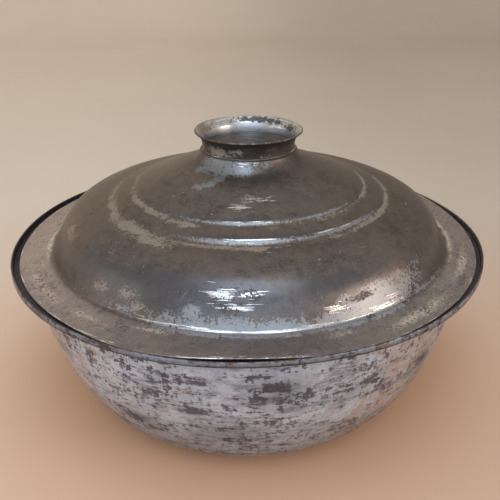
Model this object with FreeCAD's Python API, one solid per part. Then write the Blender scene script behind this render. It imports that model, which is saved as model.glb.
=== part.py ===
"""Lidded bowl of tinned sheet copper, in millimetres, +Z up.

The origin is the middle of the bowl's flat base. Every piece is a body of revolution about Z:

  bowl          one raised sheet: flat base, round belly, short neck, a ledge and an upright rim band
  lid           one raised sheet: brim, steep riser, shoulder, two steps, crown and a low boss
  lid_collar    the flared ring that is the lid's grip, a sleeve over the boss
  collar_solder the bead that fastens the collar to the lid

A sheet is drawn by one of its faces, as corners joined by straight runs, each corner bent to a
radius. The other face is the same run of corners, one sheet thickness away.
"""
import FreeCAD, Part
import math
import os

# ---------------------------------------------------------------- bowl
rim_radius = 140.0          # outside of the rim band
bowl_height = 103.5         # base to the top of the rim band
bowl_sheet = 1.1            # thickness of the copper sheet
rim_band_height = 3.9       # outside height of the upright band
band_bend = 1.8             # outside bend where the ledge turns up into the band
ledge_width = 13.0          # from the neck out to the rim band, outside to outside
ledge_bend = 1.5            # outside bend where the neck turns out into the ledge
neck_height = 6.4           # straight part of the neck
belly_reach = 63.0          # from the edge of the flat base out to the neck
heel_radius = 50.0          # arc that turns the base up into the belly

# ---------------------------------------------------------------- lid, from the brim inwards
lid_sheet = 1.1             # thickness of the copper sheet
brim_clearance = 2.9        # from the brim's edge to the inside of the rim band
brim_seat = 0.3             # from the brim down to the ledge, which is parallel to it
brim_width = 18.7           # from the brim's edge in to the foot of the riser
brim_rise = 2.1             # the brim's rise from its edge to that foot
riser_run = 9.5             # steep riser, from its foot to the corner with the shoulder
riser_rise = 19.0
riser_foot_bend = 1.5       # crisp inside bend at the foot
riser_top_bend = 23.0       # round of the shoulder's outer edge
outer_slope_run = 14.3      # outer, steeper slope of the shoulder
outer_slope_rise = 6.4
shoulder_bend = 48.0        # round between the shoulder's two slopes
inner_slope_run = 13.1      # inner, flatter slope of the shoulder, up to the outer step
inner_slope_rise = 1.8
outer_step_run = 2.8        # outer step, from its foot in to its crest
outer_step_rise = 2.4
step_band_run = 9.7         # plain band between the crest of one step and the foot of the next
step_band_rise = 2.6
inner_step_run = 2.3        # inner step, from its foot in to its crest
inner_step_rise = 1.9
step_crest_bend = 2.4       # outside bend at the crest of each step
step_foot_bend = 1.0        # inside bend at the foot of each step
crown_swell = 0.5           # how far the middle of the crown stands above a straight cone
crown_bend = 300.0          # round at the middle of the crown
neck_sweep_run = 3.5        # from the collar's outside to the corner where crown meets neck
neck_sweep_drop = 5.9       # from the shelf down to that corner
neck_sweep_bend = 11.0      # round of the neck
shelf_height = 55.7         # brim's edge to the narrow shelf that the collar stands on
shelf_margin = 1.3          # shelf outside the collar, out to the corner where the neck begins
shelf_bend = 1.25           # round of that corner
boss_height = 2.0           # low boss that the collar sleeves over
boss_clearance = 0.1        # between the boss and the collar
boss_top_bend = 1.4

# ---------------------------------------------------------------- collar and its solder
collar_radius = 26.9        # outside of the collar at its foot
collar_height = 10.4        # foot to the outer edge of the lip
collar_sheet = 1.0          # thickness of the collar's sheet
foot_height = 3.0           # upright foot of the collar
foot_bend = 20.0            # bend from the foot into the leaning wall
waist_height = 7.4          # height at which the wall turns out into the lip
waist_lean = 1.0            # how far the wall has leaned out by then
waist_bend = 6.0
lip_overhang = 4.7          # from the collar's foot out to its lip
solder_leg = 0.7            # height of the bead on the collar
solder_width = 0.45         # width of the bead on the shelf
solder_clearance = 0.02     # between the bead and the collar's curved face

# ---------------------------------------------------------------- sizes that follow
neck_radius = rim_radius - ledge_width
base_radius = neck_radius - belly_reach
brim_slope = brim_rise / brim_width
underside_level = bowl_height - rim_band_height
neck_top_level = underside_level + ledge_width * brim_slope
lid_radius = rim_radius - bowl_sheet - brim_clearance
brim_stack = (bowl_sheet + brim_seat + lid_sheet) * math.hypot(1.0, brim_slope)
brim_level = underside_level + (rim_radius - lid_radius) * brim_slope + brim_stack
shelf_level = brim_level + shelf_height
boss_radius = collar_radius - collar_sheet - boss_clearance
boss_foot_bend = boss_clearance  # no larger, so that the collar's foot sits flat

AXIS_POINT = FreeCAD.Vector(0, 0, 0)
AXIS = FreeCAD.Vector(0, 0, 1)
SAME_POINT = 1e-6           # two points nearer than this are one


def vector(point):
    """A (radius, height) point in the XZ plane."""
    return FreeCAD.Vector(point[0], 0.0, point[1])


def heading(a, b):
    """Direction from point a to point b, with length one."""
    length = math.dist(a, b)
    return ((b[0] - a[0]) / length, (b[1] - a[1]) / length)


def straight(a, b):
    """A straight edge as a list, empty where the two ends meet."""
    if math.dist(a, b) < SAME_POINT:
        return []
    return [Part.LineSegment(vector(a), vector(b)).toShape()]


def arc(a, middle, b):
    """An arc from a to b through a middle point."""
    return Part.Arc(vector(a), vector(middle), vector(b)).toShape()


def parallel_face(corners, distance):
    """The corners of a sheet's other face, to the left of the run, or the right if negative.

    A bend towards that side loses the distance from its radius, and a bend away gains it.
    """
    points = [corner[:2] for corner in corners]
    runs = [heading(a, b) for a, b in zip(points, points[1:])]
    runs = [runs[0]] + runs + [runs[-1]]
    moved = []
    for (r, z, bend), before, after in zip(corners, runs, runs[1:]):
        turn = before[0] * after[1] - before[1] * after[0]
        reach = distance / (1.0 + before[0] * after[0] + before[1] * after[1])
        new_r = r - reach * (before[1] + after[1])
        new_z = z + reach * (before[0] + after[0])
        new_bend = bend - distance * math.copysign(1.0, turn) if bend else 0.0
        moved.append((new_r, new_z, new_bend))
    return moved


def face_edges(corners):
    """Straight edges and tangent arcs along the corners, each bent to its own radius.

    A corner with no radius, or none left after a change of face, stays sharp.
    """
    edges = []
    start = corners[0][:2]
    for before, here, after in zip(corners, corners[1:], corners[2:]):
        corner = here[:2]
        bend = max(here[2], 0.0)
        back = heading(corner, before[:2])
        ahead = heading(corner, after[:2])
        half_turn = 0.5 * (math.pi - math.acos(back[0] * ahead[0] + back[1] * ahead[1]))
        length = bend * math.tan(half_turn)
        leave = (corner[0] + length * back[0], corner[1] + length * back[1])
        join = (corner[0] + length * ahead[0], corner[1] + length * ahead[1])
        edges += straight(start, leave)
        if bend > 0.0:
            depth = bend * (1.0 / math.cos(half_turn) - 1.0)
            inward = heading((0.0, 0.0), (back[0] + ahead[0], back[1] + ahead[1]))
            middle = (corner[0] + depth * inward[0], corner[1] + depth * inward[1])
            edges.append(arc(leave, middle, join))
        start = join
    return edges + straight(start, corners[-1][:2])


def revolve(edges):
    """The solid of revolution of a closed run of edges about Z."""
    wire = Part.Wire(Part.__sortEdges__(edges))
    return Part.Face(wire).revolve(AXIS_POINT, AXIS, 360)


def revolve_sheet(corners, distance):
    """A sheet of revolution with square-cut ends, from the corners of one of its faces."""
    other = parallel_face(corners, distance)
    edges = face_edges(corners) + face_edges(other)
    edges += straight(corners[0][:2], other[0][:2])
    edges += straight(corners[-1][:2], other[-1][:2])
    return revolve(edges)


def belly_corners():
    """Outside corners of the belly, from base to neck.

    The heel arc and the side arc meet with one tangent and no straight between them. The
    tangent there leans from the vertical by twice the angle whose tangent is
    (belly_reach - heel_radius) / (height - heel_radius).
    """
    height = neck_top_level - ledge_bend - neck_height
    half_lean = math.atan2(belly_reach - heel_radius, height - heel_radius)
    rise_angle = 0.5 * math.pi - 2.0 * half_lean
    side_radius = heel_radius + (height - heel_radius) / math.cos(rise_angle)
    heel_corner = base_radius + heel_radius * math.tan(0.5 * rise_angle)
    side_corner = height - side_radius * math.tan(half_lean)
    return [(heel_corner, 0.0, heel_radius), (neck_radius, side_corner, side_radius)]


def make_bowl():
    """The bowl, drawn by its outside face from the middle of the base to the top of the rim."""
    outside = [(0.0, 0.0, 0.0)]
    outside += belly_corners()
    outside += [
        (neck_radius, neck_top_level, ledge_bend),
        (rim_radius, underside_level, band_bend),
        (rim_radius, bowl_height, 0.0),
    ]
    return revolve_sheet(outside, bowl_sheet)


def lid_corners():
    """Corners of the lid's upper face, from the brim's edge to the axis."""
    corners = [
        (lid_radius, brim_level, 0.0),
        (lid_radius - brim_width, brim_level + brim_rise, riser_foot_bend),
    ]
    flights = (
        (riser_run, riser_rise, riser_top_bend),
        (outer_slope_run, outer_slope_rise, shoulder_bend),
        (inner_slope_run, inner_slope_rise, step_foot_bend),
        (outer_step_run, outer_step_rise, step_crest_bend),
        (step_band_run, step_band_rise, step_foot_bend),
        (inner_step_run, inner_step_rise, step_crest_bend),
    )
    for run, rise, bend in flights:
        r, z = corners[-1][:2]
        corners.append((r - run, z + rise, bend))
    crest_r, crest_z = corners[-1][:2]
    sweep_r = collar_radius + neck_sweep_run
    sweep_z = shelf_level - neck_sweep_drop
    crown_z = 0.5 * (crest_z + sweep_z) + crown_swell
    boss_level = shelf_level + boss_height
    corners += [
        (0.5 * (crest_r + sweep_r), crown_z, crown_bend),
        (sweep_r, sweep_z, neck_sweep_bend),
        (collar_radius + shelf_margin, shelf_level, shelf_bend),
        (boss_radius, shelf_level, boss_foot_bend),
        (boss_radius, boss_level, boss_top_bend),
        (0.0, boss_level, 0.0),
    ]
    return corners


def make_lid():
    """The lid, drawn by its upper face from the brim's edge to the middle of the boss."""
    return revolve_sheet(lid_corners(), lid_sheet)


def make_collar():
    """The collar, drawn by its outside face from foot to lip."""
    outside = [
        (collar_radius, shelf_level, 0.0),
        (collar_radius, shelf_level + foot_height, foot_bend),
        (collar_radius + waist_lean, shelf_level + waist_height, waist_bend),
        (collar_radius + lip_overhang, shelf_level + collar_height, 0.0),
    ]
    return revolve_sheet(outside, collar_sheet)


def make_solder():
    """The bead in the corner between collar and shelf, with a straight face."""
    wall = collar_radius + solder_clearance
    corner = (wall, shelf_level)
    toe = (wall + solder_width, shelf_level)
    top = (wall, shelf_level + solder_leg)
    return revolve(straight(corner, toe) + straight(toe, top) + straight(top, corner))


os.makedirs("parts", exist_ok=True)
pieces = {
    "bowl": make_bowl(),
    "lid": make_lid(),
    "lid_collar": make_collar(),
    "collar_solder": make_solder(),
}
for name, shape in pieces.items():
    shape.exportStep("parts/" + name + ".step")
    box = shape.optimalBoundingBox(False, False)
    print(f"{name}: valid {shape.isValid()}, {shape.Volume:.1f} mm3, z {box.ZMin:.2f} to {box.ZMax:.2f}")
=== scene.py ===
"""A worn, tinned copper bowl with a domed metal lid, dressed for its portrait.

Every visible skin is turned from its own section in millimetres, settled a little out of true as
hand-raised copper is, and painted with soft patches that the finishes turn into ragged wear, and
into painted highlights, painted reflection and painted shade.
"""

import logging
import math
from dataclasses import dataclass
from enum import Enum
from functools import reduce
from typing import Any, Callable, Mapping, Sequence, TypeAlias

import bpy
import numpy as np
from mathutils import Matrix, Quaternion, Vector


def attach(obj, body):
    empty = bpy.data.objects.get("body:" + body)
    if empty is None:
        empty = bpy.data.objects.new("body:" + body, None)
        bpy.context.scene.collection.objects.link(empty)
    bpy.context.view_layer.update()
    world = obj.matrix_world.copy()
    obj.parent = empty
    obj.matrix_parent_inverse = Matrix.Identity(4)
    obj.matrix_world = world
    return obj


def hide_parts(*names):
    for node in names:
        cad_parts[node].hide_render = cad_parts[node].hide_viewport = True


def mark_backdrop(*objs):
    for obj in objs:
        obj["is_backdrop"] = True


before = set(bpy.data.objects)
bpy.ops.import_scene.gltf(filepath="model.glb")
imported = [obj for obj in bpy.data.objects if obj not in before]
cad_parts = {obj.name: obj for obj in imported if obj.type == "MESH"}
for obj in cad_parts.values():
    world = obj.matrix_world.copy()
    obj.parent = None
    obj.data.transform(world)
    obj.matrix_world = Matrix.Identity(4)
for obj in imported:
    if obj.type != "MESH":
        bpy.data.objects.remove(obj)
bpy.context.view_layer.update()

MM = 0.001
FULL_TURN = 360.0
HALF_TURN = 180.0
MEETING = 1e-4
LOG = logging.getLogger("dish")

Color: TypeAlias = tuple[float, float, float]
Node: TypeAlias = bpy.types.Node
Socket: TypeAlias = bpy.types.NodeSocket
Piece: TypeAlias = bpy.types.Object
Number: TypeAlias = "Signal | float"


class Coat(Enum):
    """The soft patches a piece carries as vertex values, one per kind of wear, with painted
    highlights, reflection and shade among them.
    """

    TIN = "tin"
    FILM_AND_REFLECTION = "film_and_reflection"
    BURNISH_AND_HIGHLIGHT = "burnish_and_highlight"
    STAIN_AND_SHADE = "stain_and_shade"
    COPPER = "copper"
    INSIDE = "inside"
    SHADE = "shade"
    COOL = "cool"


class Body(Enum):
    """The moving bodies of the part."""

    BOWL = "bowl"
    LID = "lid"


# ---- sections


def corner_list(*corners: Sequence[float]) -> np.ndarray:
    """Corners as rows of radius, height and bend, in millimetres.

    Args:
        corners: Radius and height, with an optional bend radius.

    Returns:
        An array with three columns.
    """
    return np.array([(c[0], c[1], c[2] if len(c) > 2 else 0.0) for c in corners], float)


def parallel_face(corners: np.ndarray, distance: float) -> np.ndarray:
    """The corners of a sheet's other face.

    Each corner moves along the sum of its two runs' left-hand normals, by the distance over one
    plus the cosine between the runs. A bend towards that side loses the distance.

    Args:
        corners: Rows of radius, height and bend.
        distance: How far to the left of the run the other face lies.

    Returns:
        The moved corners, in the same order.
    """
    runs = np.diff(corners[:, :2], axis=0)
    runs /= np.linalg.norm(runs, axis=1, keepdims=True)
    before = np.vstack([runs[:1], runs])
    after = np.vstack([runs, runs[-1:]])
    turn = before[:, 0] * after[:, 1] - before[:, 1] * after[:, 0]
    reach = distance / (1.0 + (before * after).sum(axis=1))
    moved = corners.copy()
    moved[:, 0] -= reach * (before[:, 1] + after[:, 1])
    moved[:, 1] += reach * (before[:, 0] + after[:, 0])
    bent = np.maximum(corners[:, 2] - distance * np.sign(turn), 0.0)
    moved[:, 2] = np.where(corners[:, 2] > 0.0, bent, 0.0)
    return moved


def bent_run(corners: np.ndarray, spacing: float, turn_step: float) -> np.ndarray:
    """Points along straight runs whose corners are rounded to their bends.

    A corner's arc starts and ends bend times tan(half the turn) from the corner, and its points
    are the first one turned about the arc's middle.

    Args:
        corners: Rows of radius, height and bend.
        spacing: Longest straight step, in millimetres.
        turn_step: Largest turn between two points of an arc, in degrees.

    Returns:
        Rows of radius and height.
    """
    points = [corners[:1, :2]]
    for before, here, after in zip(corners, corners[1:], corners[2:]):
        back = before[:2] - here[:2]
        ahead = after[:2] - here[:2]
        back = back / np.linalg.norm(back)
        ahead = ahead / np.linalg.norm(ahead)
        cosine = float(np.clip(-(back * ahead).sum(), -1.0, 1.0))
        turn = math.acos(cosine)
        length = here[2] * math.tan(0.5 * turn)
        leave = here[:2] + length * back
        points.append(stepped(points[-1][-1], leave, spacing))
        if here[2] <= 0.0 or turn < MEETING:
            continue
        side = math.copysign(1.0, -back[0] * ahead[1] + back[1] * ahead[0])
        middle = leave + here[2] * side * np.array([back[1], -back[0]])
        steps = max(math.degrees(turn) / turn_step, here[2] * turn / spacing)
        steps = max(2, math.ceil(steps))
        angle = side * turn * np.arange(1, steps + 1) / steps
        spoke = leave - middle
        arc_r = middle[0] + spoke[0] * np.cos(angle) - spoke[1] * np.sin(angle)
        arc_z = middle[1] + spoke[0] * np.sin(angle) + spoke[1] * np.cos(angle)
        points.append(np.column_stack([arc_r, arc_z]))
    points.append(stepped(points[-1][-1], corners[-1, :2], spacing))
    run = np.vstack(points)
    return without_doubles(run)


def without_doubles(run: np.ndarray) -> np.ndarray:
    """A run without the points that lie on the ones before them."""
    return run[np.append(True, np.linalg.norm(np.diff(run, axis=0), axis=1) > MEETING)]


def stepped(start: np.ndarray, end: np.ndarray, spacing: float) -> np.ndarray:
    """Even steps along a straight, without its first point.

    Args:
        start: First point.
        end: Last point.
        spacing: Longest step.

    Returns:
        Rows of radius and height, empty where the two points meet.
    """
    length = float(np.linalg.norm(end - start))
    if length < 0.1 * MEETING:
        return np.empty((0, 2))
    steps = math.ceil(length / spacing)
    return start + np.arange(1, steps + 1)[:, None] / steps * (end - start)


# ---- patches


@dataclass(frozen=True)
class Patch:
    """A soft patch of wear, painted highlight, painted reflection or painted shade: strongest in
    its middle and gone at its reach.

    Args:
        azimuth: Degrees round from the right-hand side, with the front at -90.
        level: Place across the surface in millimetres, by radius on the lid and height elsewhere.
        half_turn: Reach round the piece, in degrees.
        half_level: Reach across it, in millimetres.
        strength: Value in the middle, one for full cover.
    """

    azimuth: float
    level: float
    half_turn: float
    half_level: float
    strength: float = 1.0


def patches(*rows: Sequence[float]) -> list[Patch]:
    """Patches from rows of azimuth, level, the two reaches and the strength."""
    return [Patch(*row) for row in rows]


def painted(spots: Sequence[Patch], azimuth: np.ndarray, level: np.ndarray) -> np.ndarray:
    """The strongest patch at each point.

    A patch's value is its strength times 1.25 times one minus the elliptic distance, kept
    between none and full.

    Args:
        spots: The patches.
        azimuth: Degrees at each point.
        level: Place across the surface at each point.

    Returns:
        One value from zero to one per point.
    """
    value = np.zeros_like(level)
    for patch in spots:
        turn = wrapped(azimuth - patch.azimuth) / patch.half_turn
        away = np.hypot(turn, (level - patch.level) / patch.half_level)
        value = np.maximum(value, patch.strength * np.clip(1.25 * (1.0 - away), 0.0, 1.0))
    return value


def wrapped(turn: np.ndarray) -> np.ndarray:
    """A turn in degrees brought between -180 and 180."""
    return (turn + HALF_TURN) % FULL_TURN - HALF_TURN


def strongest(*values: np.ndarray) -> np.ndarray:
    """The largest of several values at each point."""
    return reduce(np.maximum, values)


def smooth(value: np.ndarray, low: float, high: float) -> np.ndarray:
    """Zero at low, one at high and t squared times (3 - 2 t) between, in either order."""
    share = np.clip((value - low) / (high - low), 0.0, 1.0)
    return share * share * (3.0 - 2.0 * share)


def bell(value: np.ndarray, middle: float, width: float) -> np.ndarray:
    """exp of minus half the squared distance from the middle in widths, wrapped in degrees."""
    return np.exp(-0.5 * (wrapped(value - middle) / width) ** 2)


def bells(azimuth: np.ndarray, *humps: Sequence[float]) -> np.ndarray:
    """The sum of each hump's height times a bell, from rows of height, middle and width."""
    return sum(high * bell(azimuth, middle, width) for high, middle, width in humps)


def ripples(turn: np.ndarray, *waves: Sequence[float]) -> np.ndarray:
    """The sum of height times cos(count times turn plus lead), from rows of those three."""
    return sum(high * np.cos(count * turn + lead) for high, count, lead in waves)


def placed(
    radius: np.ndarray, turn: np.ndarray, height: np.ndarray, shift: float = 0.0
) -> np.ndarray:
    """Points at x = radius cos a + shift, y = radius sin a and z = height."""
    return np.column_stack([radius * np.cos(turn) + shift, radius * np.sin(turn), height])


# ---- turned skins


@dataclass
class Turning:
    """A closed skin turned about the upright axis from a section.

    Point (i, j) stands at radius r_i and height z_i of the section and azimuth 2 pi j / around.
    A section that starts and ends on the axis closes there in one point at each end, and a ring
    section closes on itself.
    """

    section: np.ndarray
    around: int
    ring: bool = False

    def __post_init__(self) -> None:
        """Works out each vertex's radius, height, azimuth and row."""
        rows = np.arange(len(self.section))
        grid_rows = rows if self.ring else rows[1:-1]
        row = np.repeat(grid_rows, self.around)
        turn = np.tile(np.arange(self.around) / self.around, len(grid_rows))
        if not self.ring:
            row = np.concatenate([rows[:1], row, rows[-1:]])
            turn = np.concatenate([[0.0], turn, [0.0]])
        self.row = row
        self.azimuth = wrapped(FULL_TURN * turn)
        self.radius = self.section[row, 0]
        self.height = self.section[row, 1]

    def faces(self) -> tuple[np.ndarray, np.ndarray]:
        """The quads between neighbouring rows and the triangles round the two poles.

        Returns:
            Quads as rows of four vertex numbers and triangles as rows of three.
        """
        j = np.arange(self.around)
        k = (j + 1) % self.around
        if self.ring:
            count = len(self.section)
            i = np.arange(count)[:, None]
            low = i * self.around
            high = ((i + 1) % count) * self.around
            quads = np.stack([low + j, low + k, high + k, high + j], axis=-1)
            return quads.reshape(-1, 4), np.empty((0, 3), int)
        count = len(self.section) - 2
        low = 1 + np.arange(count - 1)[:, None] * self.around
        high = low + self.around
        quads = np.stack([low + j, low + k, high + k, high + j], axis=-1).reshape(-1, 4)
        last = 1 + count * self.around
        top = last - self.around
        first_fan = np.column_stack([np.zeros_like(j), 1 + k, 1 + j])
        last_fan = np.column_stack([np.full_like(j, last), top + j, top + k])
        return quads, np.vstack([first_fan, last_fan])

    def build(self, name: str, points: np.ndarray, coats: Mapping[Coat, np.ndarray]) -> Piece:
        """Makes the mesh object, with faces outwards and each coat as a vertex value.

        Args:
            name: The piece's name.
            points: One row of x, y and z per vertex, in millimetres.
            coats: Soft patches, one value per vertex; those left out are nowhere.

        Returns:
            The new object at the origin.
        """
        quads, fans = self.faces()
        halves = np.vstack([quads[:, [0, 1, 2]], quads[:, [0, 2, 3]], fans])
        a, b, c = (points[halves[:, n]] for n in range(3))
        if (np.cross(a, b) * c).sum() < 0.0:
            quads = quads[:, ::-1]
            fans = fans[:, ::-1]
        mesh = bpy.data.meshes.new(name)
        mesh.vertices.add(len(points))
        mesh.vertices.foreach_set("co", (points * MM).astype(np.float32).ravel())
        loops = np.concatenate([quads.ravel(), fans.ravel()])
        totals = np.concatenate([np.full(len(quads), 4), np.full(len(fans), 3)])
        mesh.loops.add(len(loops))
        mesh.loops.foreach_set("vertex_index", loops.astype(np.int32))
        mesh.polygons.add(len(totals))
        starts = np.concatenate([[0], np.cumsum(totals)[:-1]])
        mesh.polygons.foreach_set("loop_start", starts.astype(np.int32))
        mesh.polygons.foreach_set("loop_total", totals.astype(np.int32))
        mesh.polygons.foreach_set("use_smooth", np.ones(len(totals), bool))
        mesh.update(calc_edges=True)
        mesh.validate()
        for coat in Coat:
            value = coats.get(coat, np.zeros(len(points)))
            layer = mesh.attributes.new(coat.value, "FLOAT", "POINT")
            layer.data.foreach_set("value", value.astype(np.float32))
        piece = bpy.data.objects.new(name, mesh)
        bpy.context.scene.collection.objects.link(piece)
        return piece


@dataclass(frozen=True)
class Dents:
    """Soft hollows left by raising and by use.

    Args:
        seed: Chooses the places.
        count: How many there are.
        depth: Deepest push, in millimetres.
        width: Reach of a dent.
    """

    seed: int
    count: int
    depth: float
    width: float

    def push(self, points: np.ndarray) -> np.ndarray:
        """How far each point is pushed, some in and some out.

        The push is the sum over the dents of depth times exp of minus the squared distance over
        the squared width.

        Args:
            points: Rows of x, y and z in millimetres.

        Returns:
            The push at each point.
        """
        chance = np.random.default_rng(self.seed)
        push = np.zeros(len(points))
        for index in chance.choice(len(points), self.count, replace=False):
            size = self.width * chance.uniform(0.6, 1.5)
            away = ((points - points[index]) ** 2).sum(axis=1)
            push += self.depth * chance.uniform(-1.0, 1.0) * np.exp(-away / size**2)
        return push


# ---- shader bench


class Sum(Enum):
    """What a Math node makes of its two numbers."""

    ADD = "ADD"
    SUBTRACT = "SUBTRACT"
    MULTIPLY = "MULTIPLY"
    DIVIDE = "DIVIDE"
    LARGER = "MAXIMUM"
    SMALLER = "MINIMUM"
    ROOT = "SQRT"


def joined(operation: Sum, swapped: bool = False) -> Callable[["Signal", Number], "Signal"]:
    """A method that joins a signal and another number by one Math node.

    Args:
        operation: What the node does.
        swapped: Whether the other number comes first.

    Returns:
        The method.
    """

    def join(signal: "Signal", other: Number) -> "Signal":
        """One Math node on the two."""
        first, second = (other, signal) if swapped else (signal, other)
        return signal.bench.sum(operation, first, second)

    return join


class Signal:
    """A number that runs through a material, so that its sums read as sums."""

    __add__, __radd__ = joined(Sum.ADD), joined(Sum.ADD, swapped=True)
    __sub__, __rsub__ = joined(Sum.SUBTRACT), joined(Sum.SUBTRACT, swapped=True)
    __mul__, __rmul__ = joined(Sum.MULTIPLY), joined(Sum.MULTIPLY, swapped=True)
    __truediv__, __rtruediv__ = joined(Sum.DIVIDE), joined(Sum.DIVIDE, swapped=True)
    larger, smaller = joined(Sum.LARGER), joined(Sum.SMALLER)

    def __init__(self, bench: "Bench", socket: Socket) -> None:
        """Wraps a socket of the bench's material."""
        self.bench = bench
        self.socket = socket

    def root(self) -> "Signal":
        """The square root."""
        return self.bench.sum(Sum.ROOT, self, 0.0)

    def step(self, low: float, high: float) -> "Signal":
        """Zero below low and one above high, smooth between."""
        values = {"Value": self, "From Min": low, "From Max": high, "To Min": 0.0, "To Max": 1.0}
        node = self.bench.add("ShaderNodeMapRange", {"interpolation_type": "SMOOTHSTEP"}, values)
        return Signal(self.bench, node.outputs["Result"])

    def ragged(self, pattern: "Signal", wander: float, soft: float = 0.06) -> "Signal":
        """This soft patch cut ragged, where a pattern's swing by its wander takes it to a half."""
        return swing(self, (pattern, wander)).step(0.5 - soft, 0.5 + soft)


def swing(start: Number, *shares: tuple[Signal, float]) -> Signal:
    """A start plus each pattern's swing about a half, times its strength.

    Args:
        start: What the swings are added to.
        shares: Patterns with their strengths.

    Returns:
        The sum.
    """
    total = start
    for pattern, strength in shares:
        total = total + (pattern - 0.5) * strength
    return total


@dataclass(frozen=True)
class Grain:
    """One noise pattern.

    Args:
        size: Its largest features in millimetres, or their width where they are drawn out.
        detail: How many finer octaves it has.
        roughness: How strong those are.
        twist: How far its places are warped first.
        length: Length of the features round the piece, or nothing where they aren't drawn out.
    """

    size: float
    detail: float
    roughness: float
    twist: float = 0.0
    length: float = 0.0


class Bench:
    """A material under way, which adds nodes and joins them up."""

    def __init__(self, name: str) -> None:
        """Starts an empty material.

        Args:
            name: The material's name.
        """
        self.material = bpy.data.materials.new(name)
        self.material.use_nodes = True
        self.tree = self.material.node_tree
        self.tree.nodes.clear()

    def add(self, kind: str, settings: Mapping[str, Any], values: Mapping[Any, Any]) -> Node:
        """Adds a node.

        Args:
            kind: The node's type.
            settings: Its own settings, set first.
            values: Values or links for its sockets, by name or number.

        Returns:
            The node.
        """
        node = self.tree.nodes.new(kind)
        for key, value in settings.items():
            setattr(node, key, value)
        for key, value in values.items():
            source = value.socket if isinstance(value, Signal) else value
            if isinstance(source, Socket):
                self.tree.links.new(source, node.inputs[key])
            else:
                node.inputs[key].default_value = source
        return node

    def sum(self, operation: Sum, first: Number, second: Number) -> Signal:
        """One Math node on two numbers."""
        node = self.add("ShaderNodeMath", {"operation": operation.value}, {0: first, 1: second})
        return Signal(self, node.outputs[0])

    def places(self) -> Socket:
        """The object's own coordinates, in metres."""
        return self.add("ShaderNodeTexCoord", {}, {}).outputs["Object"]

    def scaled(self, vector: Socket, factor: Number) -> Socket:
        """A vector or a colour times a factor."""
        values = {0: vector, "Scale": factor}
        return self.add("ShaderNodeVectorMath", {"operation": "SCALE"}, values).outputs[0]

    def parts(self, vector: Socket) -> list[Signal]:
        """The three numbers of a vector."""
        node = self.add("ShaderNodeSeparateXYZ", {}, {0: vector})
        return [Signal(self, part) for part in node.outputs]

    def vector(self, *numbers: Number) -> Socket:
        """A vector from three numbers."""
        return self.add("ShaderNodeCombineXYZ", {}, dict(enumerate(numbers))).outputs[0]

    def noise(self, places: Socket, size: float, grain: Grain) -> Signal:
        """Soft noise about a half.

        Args:
            places: Where it is read.
            size: Size of its largest features, in the units of the places.
            grain: Its octaves and warp.

        Returns:
            The noise.
        """
        values = {
            "Vector": places,
            "Scale": 1.0 / size,
            "Detail": grain.detail,
            "Roughness": grain.roughness,
            "Distortion": grain.twist,
        }
        node = self.add("ShaderNodeTexNoise", {"noise_dimensions": "3D"}, values)
        return Signal(self, node.outputs["Fac"])

    def coat(self, coat: Coat) -> Signal:
        """One of the piece's soft patches."""
        node = self.add("ShaderNodeAttribute", {"attribute_name": coat.value}, {})
        return Signal(self, node.outputs["Fac"])

    def mix(self, share: Signal, first: Socket | Color, second: Socket | Color) -> Socket:
        """Two colours mixed by a share."""
        values = {0: share, 6: opaque(first), 7: opaque(second)}
        return self.add("ShaderNodeMix", {"data_type": "RGBA"}, values).outputs[2]

    def dress(self, values: Mapping[str, Any]) -> bpy.types.Material:
        """Joins the shader to the output.

        Args:
            values: Values or links for the shader's sockets.

        Returns:
            The finished material.
        """
        shader = self.add("ShaderNodeBsdfPrincipled", {}, values)
        self.add("ShaderNodeOutputMaterial", {}, {"Surface": shader.outputs[0]})
        return self.material


def opaque(color: Socket | Color) -> Any:
    """A colour with its fourth number, or a socket as it is."""
    return (*color, 1.0) if isinstance(color, tuple) else color


@dataclass(frozen=True)
class Layer:
    """One coat of a finish.

    Args:
        color: Linear colour.
        metallic: How metallic it is.
        roughness: How rough it is.
    """

    color: Color
    metallic: float
    roughness: float


class Coating:
    """The surface under way: colour, metal, roughness and height, laid coat by coat."""

    def __init__(self, bench: Bench, ground: Layer) -> None:
        """Starts with the ground coat.

        Args:
            bench: The material's bench.
            ground: The coat under all the others.
        """
        self.bench = bench
        whole = bench.sum(Sum.ADD, 0.0, 0.0)
        self.color = bench.mix(whole, ground.color, ground.color)
        self.metallic = whole + ground.metallic
        self.roughness = whole + ground.roughness
        self.height = whole

    def shade(self, factor: Signal) -> None:
        """Makes what is there lighter or darker."""
        self.color = self.bench.scaled(self.color, factor)

    def lay(self, mask: Signal, layer: Layer, lift: float = 0.0) -> None:
        """Covers what is there.

        Args:
            mask: Where the coat lies, from zero to one.
            layer: The coat.
            lift: How far it stands above the coat below, in millimetres.
        """
        self.color = self.bench.mix(mask, self.color, layer.color)
        self.metallic = self.metallic + mask * (layer.metallic - self.metallic)
        self.roughness = self.roughness + mask * (layer.roughness - self.roughness)
        self.height = self.height + mask * lift

    def finish(self) -> bpy.types.Material:
        """Joins everything to the shader.

        Returns:
            The finished material.
        """
        values = {"Strength": 1.0, "Distance": MM, "Height": self.height}
        bump = self.bench.add("ShaderNodeBump", {}, values)
        return self.bench.dress(
            {
                "Base Color": self.color,
                "Metallic": self.metallic,
                "Roughness": self.roughness,
                "Normal": bump.outputs[0],
            }
        )


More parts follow.
